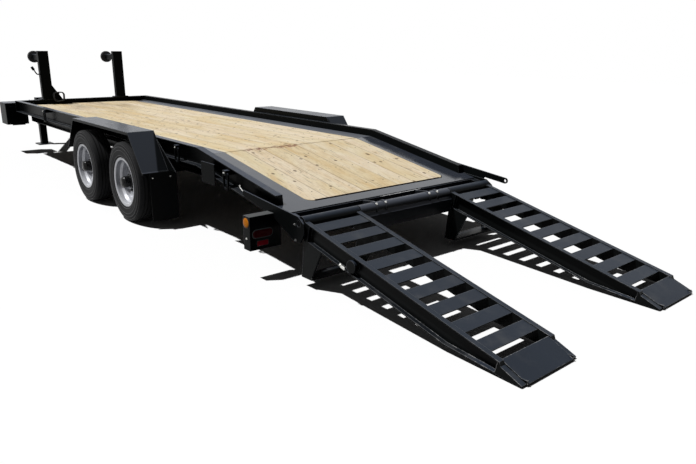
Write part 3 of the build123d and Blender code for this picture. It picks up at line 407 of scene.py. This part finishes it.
hubPaint = glossFinish("hubPaint", (0.0045, 0.0045, 0.005), (0.018, 0.017, 0.016), roughness=0.20, level=0.18)
boltZinc = glossFinish("boltZinc", (0.62, 0.62, 0.60), (0.36, 0.34, 0.30), roughness=0.34, metallic=0.9)
boltDull = glossFinish("boltDull", (0.16, 0.16, 0.16), (0.06, 0.058, 0.055), roughness=0.38, metallic=0.6)
nutBlack = glossFinish("nutBlack", (0.012, 0.012, 0.013), (0.045, 0.042, 0.040), roughness=0.30, metallic=0.2)
screwSteel = glossFinish("screwSteel", (0.20, 0.16, 0.11), (0.09, 0.065, 0.045), roughness=0.55, metallic=0.3)


# lamp lenses: moulded ribs under a clear skin
def lensFinish(name, colour, deep, ribs):
    f = Finish(name, colour, 0.16, Specular_IOR_Level=0.03)
    x, y, z = f.split(f.place)
    cross = (((x + y) * ribs).sin() * 0.5 + 0.5) * ((z * ribs).sin() * 0.5 + 0.5)
    cloud = f.noise(60.0, 3.0)
    f.set("Base Color", f.mix(cross * 0.7 + cloud * 0.3, deep, colour))
    f.set("Roughness", 0.10 + cloud * 0.14)
    f.bump(cross, 0.25, 0.0015)
    return f.mat


redLens = lensFinish("redLens", (0.17, 0.002, 0.009), (0.07, 0.001, 0.003), ribs=700.0)
brightRedLens = lensFinish("brightRedLens", (0.78, 0.010, 0.045), (0.42, 0.004, 0.018), ribs=900.0)
amberLens = lensFinish("amberLens", (0.92, 0.34, 0.012), (0.55, 0.14, 0.004), ribs=900.0)

# CAD nodes by the start of their names; the rest get the frame's paint
nodeLooks = {"tyre_": tyreRubber, "wheel_": wheelPaint, "hub_": hubPaint, "mud_flap": flapRubber,
             "roller_": rollerRubber, "lamps_": redLens, "cable_coil": cableSheath, "edge_strip": stripPaint,
             "tail_plate": deckPaint, "tail_beam": pipePaint, "fender": fenderPaint, "lamp_box": boxPaint,
             "ramp_": rampPaint, "deck_planks": pinePlanks, "tail_planks": pinePlanks}
for name, obj in nodes.items():
    mat = next((m for start, m in nodeLooks.items() if name.startswith(start)), framePaint)
    obj.data.materials.clear()
    obj.data.materials.append(mat)
print("CAD nodes dressed")


# modelling by hand: what is selected, what an edit acts on, and how a piece is finished
def clearSelection():
    if bpy.context.mode != "OBJECT":
        bpy.ops.object.mode_set(mode="OBJECT")
    bpy.ops.object.select_all(action="DESELECT")


def only(obj):
    clearSelection()
    obj.select_set(True)
    bpy.context.view_layer.objects.active = obj


def fixPlace(obj):  # its place, turn and scale go into its mesh
    only(obj)
    bpy.ops.object.transform_apply(location=True, rotation=True, scale=True)
    return obj


def editOnly(obj, kind, wanted):  # edit mode with just these vertices, edges or polygons selected
    only(obj)
    bpy.context.tool_settings.mesh_select_mode = [kind == k for k in ("vertices", "edges", "polygons")]
    bpy.ops.object.mode_set(mode="EDIT")
    bpy.ops.mesh.select_all(action="DESELECT")
    bpy.ops.object.mode_set(mode="OBJECT")
    for part in getattr(obj.data, kind):
        part.select = wanted(part)
    bpy.ops.object.mode_set(mode="EDIT")


def done():
    bpy.ops.object.mode_set(mode="OBJECT")
    return bpy.context.object


def addDrum(sideCount, radius, depth, base=0.0):  # a drum that stands on z = base
    clearSelection()
    bpy.ops.mesh.primitive_cylinder_add(vertices=sideCount, radius=radius, depth=depth,
                                        location=(0, 0, base + depth / 2))
    return fixPlace(bpy.context.object)


def addOval(sideCount, reach, radius, depth):  # a drum whose two halves are drawn apart along X
    obj = addDrum(sideCount, radius, depth)
    for way in (1.0, -1.0):
        editOnly(obj, "vertices", lambda vert: vert.co.x * way > 1e-6)
        bpy.ops.transform.translate(value=(way * reach, 0.0, 0.0))
        done()
    return obj


def addBar(width, height, depth, corner):  # a block with rounded upright edges
    clearSelection()
    bpy.ops.mesh.primitive_cube_add(size=1.0, location=(0, 0, depth / 2), scale=(width, height, depth))
    obj = fixPlace(bpy.context.object)

    def upright(edge):
        a, b = (obj.data.vertices[i].co for i in edge.vertices)
        return abs(a.z - b.z) > depth / 2

    editOnly(obj, "edges", upright)
    bpy.ops.mesh.bevel(offset=corner, segments=5, affect="EDGES")
    return done()


def shapeTop(obj, *steps):  # inset the top face by steps of (in, up)
    top = max(v.co.z for v in obj.data.vertices)
    editOnly(obj, "polygons", lambda face: face.normal.z > 0.9 and face.center.z > top - 1e-5)
    for inward, up in steps:
        bpy.ops.mesh.inset(thickness=inward, depth=up)
    return done()


def drawLine(points):  # a chain of edges, one extrude after another
    clearSelection()
    bpy.ops.mesh.primitive_plane_add(size=0.001)
    bpy.context.tool_settings.mesh_select_mode = (True, False, False)
    bpy.ops.object.mode_set(mode="EDIT")
    bpy.ops.mesh.select_all(action="SELECT")
    bpy.ops.mesh.merge(type="CENTER")
    bpy.ops.transform.translate(value=points[0])
    for here, there in zip(points, points[1:]):
        bpy.ops.mesh.extrude_region_move(TRANSFORM_OT_translate={"value": Vector(there) - Vector(here)})
    return done()


def spinRound(obj, steps):  # a section in the YZ plane turned about the Y axis
    editOnly(obj, "vertices", lambda vert: True)
    bpy.ops.mesh.spin(steps=steps, angle=2 * math.pi, center=(0, 0, 0), axis=(0, 1, 0))
    bpy.ops.mesh.select_all(action="SELECT")
    bpy.ops.mesh.remove_doubles(threshold=1e-5)
    bpy.ops.mesh.normals_make_consistent(inside=False)
    return done()


def copyPiece(obj, place):  # a copy with its own mesh
    twin = obj.copy()
    twin.data = obj.data.copy()
    twin.data.transform(place)
    if place.determinant() < 0:
        twin.data.flip_normals()
    bpy.context.collection.objects.link(twin)
    return twin


def facing(place, toward, spin=0.0, size=1.0):  # from the Z axis at the origin to a place and direction
    turn = Vector(toward).to_track_quat("Z", "Y").to_matrix().to_4x4()
    return Matrix.Translation(place) @ turn @ Matrix.Rotation(spin, 4, "Z") @ Matrix.Scale(size, 4)


def lying(place, along, toward):  # from a bar along X, flat on Z, to a place and its two directions
    first, third = Vector(along).normalized(), Vector(toward).normalized()
    return Matrix.Translation(place) @ Matrix((first, third.cross(first), third)).transposed().to_4x4()


def onSide(point, s):  # a point or direction of the left side, on this side
    return point[0], s * point[1] + 0.0, point[2]


def joined(pieces):
    clearSelection()
    for piece in pieces:
        piece.select_set(True)
    bpy.context.view_layer.objects.active = pieces[0]
    if len(pieces) > 1:
        bpy.ops.object.join()
    return bpy.context.view_layer.objects.active


def drop(*moulds):
    for mould in moulds:
        bpy.data.objects.remove(mould, do_unlink=True)


def finishPiece(obj, name, body, mat, angle=30.0):
    fixPlace(obj)
    obj.name = name
    obj.data.name = name
    obj.data.materials.clear()
    obj.data.materials.append(mat)
    bpy.ops.object.shade_smooth_by_angle(angle=math.radians(angle))
    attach(obj, body)
    return obj


# tyres: five ribs, ringed sidewalls and slots along the shoulders
tyreShape = {"steps": 144, "crown": 0.3835, "drop": 0.0052, "treadHalf": 0.080, "smooth": 28.0,
             "grooves": (0.052, 0.018, -0.018, -0.052), "grooveTop": 0.0052, "grooveLow": 0.0026,
             "grooveDeep": 0.0095, "slotR": (0.3715, 0.3775), "slotY": 0.0805, "slotIn": (0.0012, 0.0004),
             "slotDeep": -0.0035,
             "sidewall": ((0.0840, 0.2235), (0.0840, 0.2365), (0.0950, 0.2400), (0.0985, 0.2450),
                          (0.1000, 0.2500), (0.1022, 0.2525), (0.1024, 0.2565), (0.1012, 0.2590),
                          (0.1036, 0.2760), (0.1048, 0.2900), (0.1050, 0.3010), (0.1062, 0.3025),
                          (0.1062, 0.3055), (0.1050, 0.3070), (0.1042, 0.3200), (0.1028, 0.3320),
                          (0.1038, 0.3335), (0.1036, 0.3370), (0.1010, 0.3390), (0.1004, 0.3470),
                          (0.0995, 0.3500), (0.0962, 0.3520), (0.0958, 0.3565), (0.0972, 0.3590),
                          (0.0945, 0.3680), (0.0880, 0.3748))}  # (half width, radius)


def tyreSection():
    look = tyreShape

    def crownAt(w):
        return look["crown"] - look["drop"] * (w / look["treadHalf"]) ** 2

    right = list(look["sidewall"])
    tread = [(look["treadHalf"], crownAt(look["treadHalf"]))]
    for middle in look["grooves"]:
        for half, deep in ((look["grooveTop"], 0.0), (look["grooveLow"], look["grooveDeep"]),
                           (-look["grooveLow"], look["grooveDeep"]), (-look["grooveTop"], 0.0)):
            tread.append((middle + half, crownAt(middle + half) - deep))
    tread.append((-look["treadHalf"], crownAt(look["treadHalf"])))
    left = [(-w, r) for w, r in reversed(right)]
    return [(0.0, w, r) for w, r in right + tread + left + right[:1]]


def shoulderSlot(face):  # every second face along both shoulders
    turn = math.atan2(face.center.x, face.center.z) / (2 * math.pi) * tyreShape["steps"]
    r = math.hypot(face.center.x, face.center.z)
    low, high = tyreShape["slotR"]
    return low < r < high and abs(face.center.y) > tyreShape["slotY"] and math.floor(turn) % 2 == 0


tyreMould = spinRound(drawLine(tyreSection()), tyreShape["steps"])
editOnly(tyreMould, "polygons", shoulderSlot)
for inward, deep in zip(tyreShape["slotIn"], (0.0, tyreShape["slotDeep"])):
    bpy.ops.mesh.inset(thickness=inward, depth=deep, use_individual=True)
done()
for axle, wheelX in wheelSpots.items():
    for side, s in sides:
        tyre = copyPiece(tyreMould, Matrix.Translation((wheelX, s * wheelY, wheelZ)))
        finishPiece(tyre, f"ribbed_tyre_{axle}_{side}", f"road_wheel_{axle}_{side}", tyreRubber,
                    tyreShape["smooth"])
        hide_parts(f"tyre_{axle}_{side}")
drop(tyreMould)
print("tyres spun")

# one bolt, copied wherever it is needed
# each part: sides, radius, height, chamfer, and the share of its height below the chamfer
boltShape = {"washer": (28, 0.0165, 0.0026, 0.0012, 0.70), "head": (6, 0.0122, 0.0095, 0.0016, 0.82),
             "stud": (14, 0.0062, 0.0055, 0.0012, 0.75), "sink": 0.0004, "turn": 0.35}


def boltPart(name, base=0.0):
    sideCount, radius, tall, chamfer, straight = boltShape[name]
    return shapeTop(addDrum(sideCount, radius, tall * straight, base), (chamfer, tall * (1.0 - straight)))


def makeBolt():
    washerTop = boltShape["washer"][2]
    headTop = washerTop + boltShape["head"][2]
    stud = boltPart("stud", headTop - boltShape["sink"])
    return joined([boltPart("washer"), boltPart("head", washerTop), stud])


def scatterBolts(name, body, places, mat=boltZinc):  # places of (point, direction, size)
    made = [copyPiece(boltMould, facing(point, toward, boltShape["turn"] * i, size))
            for i, (point, toward, size) in enumerate(places)]
    return finishPiece(joined(made), name, body, mat)


boltMould = makeBolt()

# wheel nuts on their circle, and a collar round the dome of each hub cap
nutRing = {"count": 8, "radius": 0.100, "face": 0.006, "size": 1.12}
capShape = {"sides": 56, "collar": 0.0475, "tall": 0.0042, "out": 0.1080,
            "rim": ((0.0012, 0.0010), (0.0016, 0.0), (0.0010, -0.0010))}
capMould = shapeTop(addDrum(capShape["sides"], capShape["collar"], capShape["tall"]), *capShape["rim"])
for axle, wheelX in wheelSpots.items():
    for side, s in sides:
        outward = (0.0, s, 0.0)
        spots = []
        for i in range(nutRing["count"]):
            turn = 2 * math.pi * (i + 0.5) / nutRing["count"]
            at = (wheelX + nutRing["radius"] * math.cos(turn), s * (wheelY + nutRing["face"]),
                  wheelZ + nutRing["radius"] * math.sin(turn))
            spots.append((at, outward, nutRing["size"]))
        scatterBolts(f"wheel_nuts_{axle}_{side}", f"road_wheel_{axle}_{side}", spots, nutBlack)
        cap = copyPiece(capMould, facing((wheelX, s * (wheelY + capShape["out"]), wheelZ), outward))
        finishPiece(cap, f"hub_collar_{axle}_{side}", f"road_wheel_{axle}_{side}", hubPaint)
drop(capMould)
print("wheel nuts and cap collars placed")

# lamps: lens and grommet apart, the oval and the bar face the rear, the round marker faces the side
lampShape = {"sides": 48, "backX": -3.271, "y": 1.150,
             "ovalZ": 0.345, "ovalReach": 0.055, "ovalR": 0.034, "ovalRim": 0.0070,
             "barZ": 0.272, "barSize": (0.100, 0.042), "barRim": 0.0030, "barCorners": (0.009, 0.008),
             "marker": (-3.229, 1.255, 0.428), "markerR": 0.040, "markerRim": 0.0032,
             "rearSmooth": 40.0, "markerSmooth": 50.0}
# how thick each part is, then its steps of (in, up)
lampSteps = {"ovalGrommet": (0.0050, (0.0020, 0.0022), (0.0040, 0.0), (0.0012, -0.0030)),
             "ovalLens": (0.0055, (0.0016, 0.0016), (0.0030, 0.0010), (0.0050, 0.0009), (0.0050, 0.0004)),
             "barGrommet": (0.0025, (0.0015, 0.0010), (0.0012, 0.0), (0.0008, -0.0015)),
             "barLens": (0.0035, (0.0012, 0.0012), (0.0025, 0.0008), (0.0030, 0.0003)),
             "roundGrommet": (0.0030, (0.0018, 0.0012), (0.0012, 0.0), (0.0008, -0.0015)),
             "roundLens": (0.0036, (0.0015, 0.0014), (0.0060, 0.0018), (0.0090, 0.0012), (0.0090, 0.0004))}


def makeLamp(name):  # a lens is smaller than its grommet by the rim
    look = lampShape
    thick, *steps = lampSteps[name]
    isLens = name.endswith("Lens")
    if name.startswith("oval"):
        start = addOval(look["sides"], look["ovalReach"], look["ovalR"] - look["ovalRim"] * isLens, thick)
    elif name.startswith("bar"):
        width, height = (size - 2 * look["barRim"] * isLens for size in look["barSize"])
        start = addBar(width, height, thick, look["barCorners"][isLens])
    else:
        start = addDrum(look["sides"], look["markerR"] - look["markerRim"] * isLens, thick)
    return shapeTop(start, *steps)


lampMoulds = {name: makeLamp(name) for name in lampSteps}
rearward = Matrix(((0, 0, -1), (1, 0, 0), (0, -1, 0))).to_4x4()
for side, s in sides:
    oval, bar = (Matrix.Translation((lampShape["backX"], s * lampShape["y"], lampShape[key])) @ rearward
                 for key in ("ovalZ", "barZ"))
    out = facing(onSide(lampShape["marker"], s), (0.0, s, 0.0))
    grommets = joined([copyPiece(lampMoulds[name], place) for name, place in
                       (("ovalGrommet", oval), ("barGrommet", bar), ("roundGrommet", out))])
    finishPiece(grommets, f"lamp_grommets_{side}", "chassis", rollerRubber)
    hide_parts(f"lamps_{side}")
    for mould, place, name, mat, smooth in (("ovalLens", oval, "tail_lens", redLens, "rearSmooth"),
                                            ("barLens", bar, "bar_lens", brightRedLens, "rearSmooth"),
                                            ("roundLens", out, "marker_lens", amberLens, "markerSmooth")):
        lens = copyPiece(lampMoulds[mould], place)
        finishPiece(lens, f"{name}_{side}", "chassis", mat, lampShape[smooth])
drop(*lampMoulds.values())
print("lamps fitted")

# deck screws: two through each plank over every crossmember
screwShape = {"sides": 10, "head": 0.0055, "tall": 0.0012, "recess": ((0.0016, 0.0003), (0.0012, -0.0008)),
              "firstX": -1.915, "pitch": 0.406, "rows": 14, "planks": 8, "inset": 0.045, "stagger": 0.006,
              "deckZ": 0.742, "tailX": (-2.355, -2.755, -3.155), "fall": 256.0 / 1464.0}
screwBlank = addDrum(screwShape["sides"], screwShape["head"], screwShape["tall"])
screwMould = shapeTop(screwBlank, *screwShape["recess"])
deckRows = [screwShape["firstX"] + i * screwShape["pitch"] for i in range(screwShape["rows"])]
for name, rows, fall in (("deck_screws", deckRows, 0.0),
                         ("tail_screws", screwShape["tailX"], screwShape["fall"])):
    heads = []
    for x in rows:
        z = screwShape["deckZ"] + (x - breakX) * fall
        for i in range(screwShape["planks"]):
            middle = (i - (screwShape["planks"] - 1) / 2) * plankPitch
            for way in (-1, 1):
                y = middle + way * (plankPitch / 2 - screwShape["inset"])
                at = (x + way * screwShape["stagger"], y, z)
                heads.append(copyPiece(screwMould, facing(at, (0.0 - fall, 0.0, 1.0))))
    finishPiece(joined(heads), name, "chassis", screwSteel)
drop(screwMould)
print("deck screws driven")

# bolts of the left side: where they are, the way they face and their size; the right side has the same
pipeBolt = {"x": -3.572, "z": 0.463, "collarR": 0.0505, "lean": (-0.64, 0.0, 0.77)}
pipeTop = (pipeBolt["x"] + pipeBolt["collarR"] * pipeBolt["lean"][0],
           pipeBolt["z"] + pipeBolt["collarR"] * pipeBolt["lean"][2])
fixings = {"hingePlate": (((-3.529, 1.047, 0.448), (-3.538, 1.047, 0.335)), (0.0, 1.0, 0.0), 0.55),
           "ringClips": (((2.205, 1.066, 0.772), (-1.755, 1.066, 0.772), (-2.605, 1.066, 0.672)),
                         (0.0, 1.0, 0.0), 0.5),
           "mudFlap": (((-1.5585, 1.037, 0.478), (-1.5585, 1.208, 0.478)), (-1.0, 0.0, 0.0), 0.38),
           "lampBox": (((-3.229, 1.255, 0.311),), (0.0, 1.0, 0.0), 0.5),
           "rollerEnd": (((4.209, 0.575, 1.449),), (1.0, 0.0, 0.0), 1.3),
           "tailHook": (((-2.812, 1.047, 0.599),), (0.0, 1.0, 0.0), 0.5),
           "hingePipe": (tuple((pipeTop[0], y, pipeTop[1]) for y in (0.245, 0.340)), pipeBolt["lean"], 0.6),
           "rampClevis": (((-3.996, 1.020, 0.271),), (0.0, 1.0, 0.0), 0.7)}
sideGroups = ("ringClips", "mudFlap", "lampBox", "rollerEnd", "tailHook")
for side, s in sides:
    for name, body, groups, mat in ((f"plate_bolts_{side}", "chassis", ("hingePlate",), boltDull),
                                    (f"side_bolts_{side}", "chassis", sideGroups, boltZinc),
                                    (f"pipe_bolts_{side}", "chassis", ("hingePipe",), boltZinc),
                                    (f"ramp_bolt_{side}", f"ramp_{side}", ("rampClevis",), boltZinc)):
        spots = []
        for points, toward, size in (fixings[group] for group in groups):
            spots += [(onSide(point, s), onSide(toward, s), size) for point in points]
        scatterBolts(name, body, spots, mat)
drop(boltMould)
print("bolts placed")

# small flat bars: the hook on each tail rail, the clevis on each ramp, the foot of the arm,
# the dark strip of painted shade behind the tail planks; each has its size and corner, then its steps of (in,
# up)
barShape = {"hook": (0.050, 0.007, 0.006, 0.0026), "hookTop": ((0.0009, 0.0009),),
            "hookAt": (-2.838, 1.047, 0.579), "hookAlong": (-0.035, 0.0, -0.019),
            "clevis": (0.044, 0.020, 0.012, 0.006), "clevisTop": ((0.0014, 0.0014), (0.0016, -0.0010)),
            "clevisAt": (-4.030, 1.020, 0.263), "clevisAlong": (-0.974, 0.0, -0.2265),
            "foot": (0.110, 0.056, 0.008, 0.006), "footTop": ((0.0010, 0.0008),),
            "footAt": (-3.262, -1.0490, 0.548), "footAlong": (-1.0, 0.0, -0.105),
            "seam": (1.400, 0.020, 0.0022, 0.004), "seamTop": ((0.0010, 0.0004),),
            "seamAt": (-3.3115, 0.0, 0.5285), "seamAlong": (0.0, 1.0, 0.0), "seamUp": (-0.175, 0.0, 1.0)}


def placeBar(kind, s, toward, name, body, mat):
    place = lying(onSide(barShape[kind + "At"], s), barShape[kind + "Along"], toward)
    finishPiece(copyPiece(barMoulds[kind], place), name, body, mat)


barMoulds = {kind: shapeTop(addBar(*barShape[kind]), *barShape[kind + "Top"])
             for kind in ("hook", "clevis", "foot", "seam")}
for side, s in sides:
    outward = (0.0, s, 0.0)
    placeBar("hook", s, outward, f"tail_hook_{side}", "chassis", boltZinc)
    placeBar("clevis", s, outward, f"ramp_clevis_{side}", f"ramp_{side}", boltZinc)
placeBar("foot", 1.0, (0.0, -1.0, 0.0), "arm_foot", "chassis", framePaint)
# a dark strip that stands for the shaded ends of the planks: painted shade
placeBar("seam", 1.0, barShape["seamUp"], "tail_seam_shade", "chassis", seamShadeStrip)
drop(*barMoulds.values())
print("small bars placed")

# floor, light and camera
stage = {"floorSize": 60.0, "floorZ": -0.002, "floorRough": 0.95,
         "seen": (1.0, 1.0, 1.0), "bounce": (0.09, 0.09, 0.10),
         "sunFrom": (0.25, 0.40, 1.0), "sunAt": (0, 0, 8), "sunPower": 3.39, "sunSoft": 0.025,
         "skyPower": 0.03, "skyColour": (1.0, 1.0, 1.0)}


def seenRays(tree):  # rays that show the background: from the camera, in gloss and through glass
    path = tree.nodes.new("ShaderNodeLightPath")
    seen, gloss, glass = (Sock(tree, path.outputs[key])
                          for key in ("Is Camera Ray", "Is Glossy Ray", "Is Transmission Ray"))
    return seen.max(gloss).max(glass)


clearSelection()
bpy.ops.mesh.primitive_plane_add(size=stage["floorSize"], location=(0, 0, stage["floorZ"]))
floor = bpy.context.object
floor.name = "studioFloor"
floorMat = Finish("floorWhite", stage["seen"], stage["floorRough"], Specular_IOR_Level=0.0)
floorMat.set("Base Color", floorMat.mix(seenRays(floorMat.tree), stage["bounce"], stage["seen"]))
floor.data.materials.append(floorMat.mat)

world = bpy.data.worlds.new("studioSky")
bpy.context.scene.world = world
world.use_nodes = True
sky = world.node_tree
background = sky.nodes["Background"]
background.inputs["Color"].default_value = (*stage["skyColour"], 1.0)
skyStrength = stage["skyPower"] + seenRays(sky) * (1.0 - stage["skyPower"])
sky.links.new(skyStrength.out, background.inputs["Strength"])

sunTurn = Vector(stage["sunFrom"]).to_track_quat("Z", "Y").to_euler()
bpy.ops.object.light_add(type="SUN", rotation=sunTurn, location=stage["sunAt"])
sun = bpy.context.object
sun.data.energy = stage["sunPower"]
sun.data.angle = stage["sunSoft"]

view = {"place": (-6.9743, 3.5125, 1.6325), "yaw": 40.62, "pitch": 16.33, "roll": 0.56,
        "focalPx": 629.0, "width": 696, "sensor": 36.0}
yaw, pitch, roll = (math.radians(view[key]) for key in ("yaw", "pitch", "roll"))
ahead = Vector((math.cos(yaw) * math.cos(pitch), -math.sin(yaw) * math.cos(pitch), -math.sin(pitch)))
across = Vector((-math.sin(yaw), -math.cos(yaw), 0.0))
above = across.cross(ahead)
right = across * math.cos(roll) + above * math.sin(roll)
up = above * math.cos(roll) - across * math.sin(roll)
camera = bpy.data.objects.new("photoCamera", bpy.data.cameras.new("photoCamera"))
bpy.context.collection.objects.link(camera)
camera.matrix_world = Matrix.Translation(view["place"]) @ Matrix((right, up, -ahead)).transposed().to_4x4()
camera.data.sensor_fit = "HORIZONTAL"
camera.data.sensor_width = view["sensor"]
camera.data.lens = view["sensor"] * view["focalPx"] / view["width"]
bpy.context.scene.camera = camera
bpy.context.scene.view_settings.view_transform = "Standard"
print("stage set")
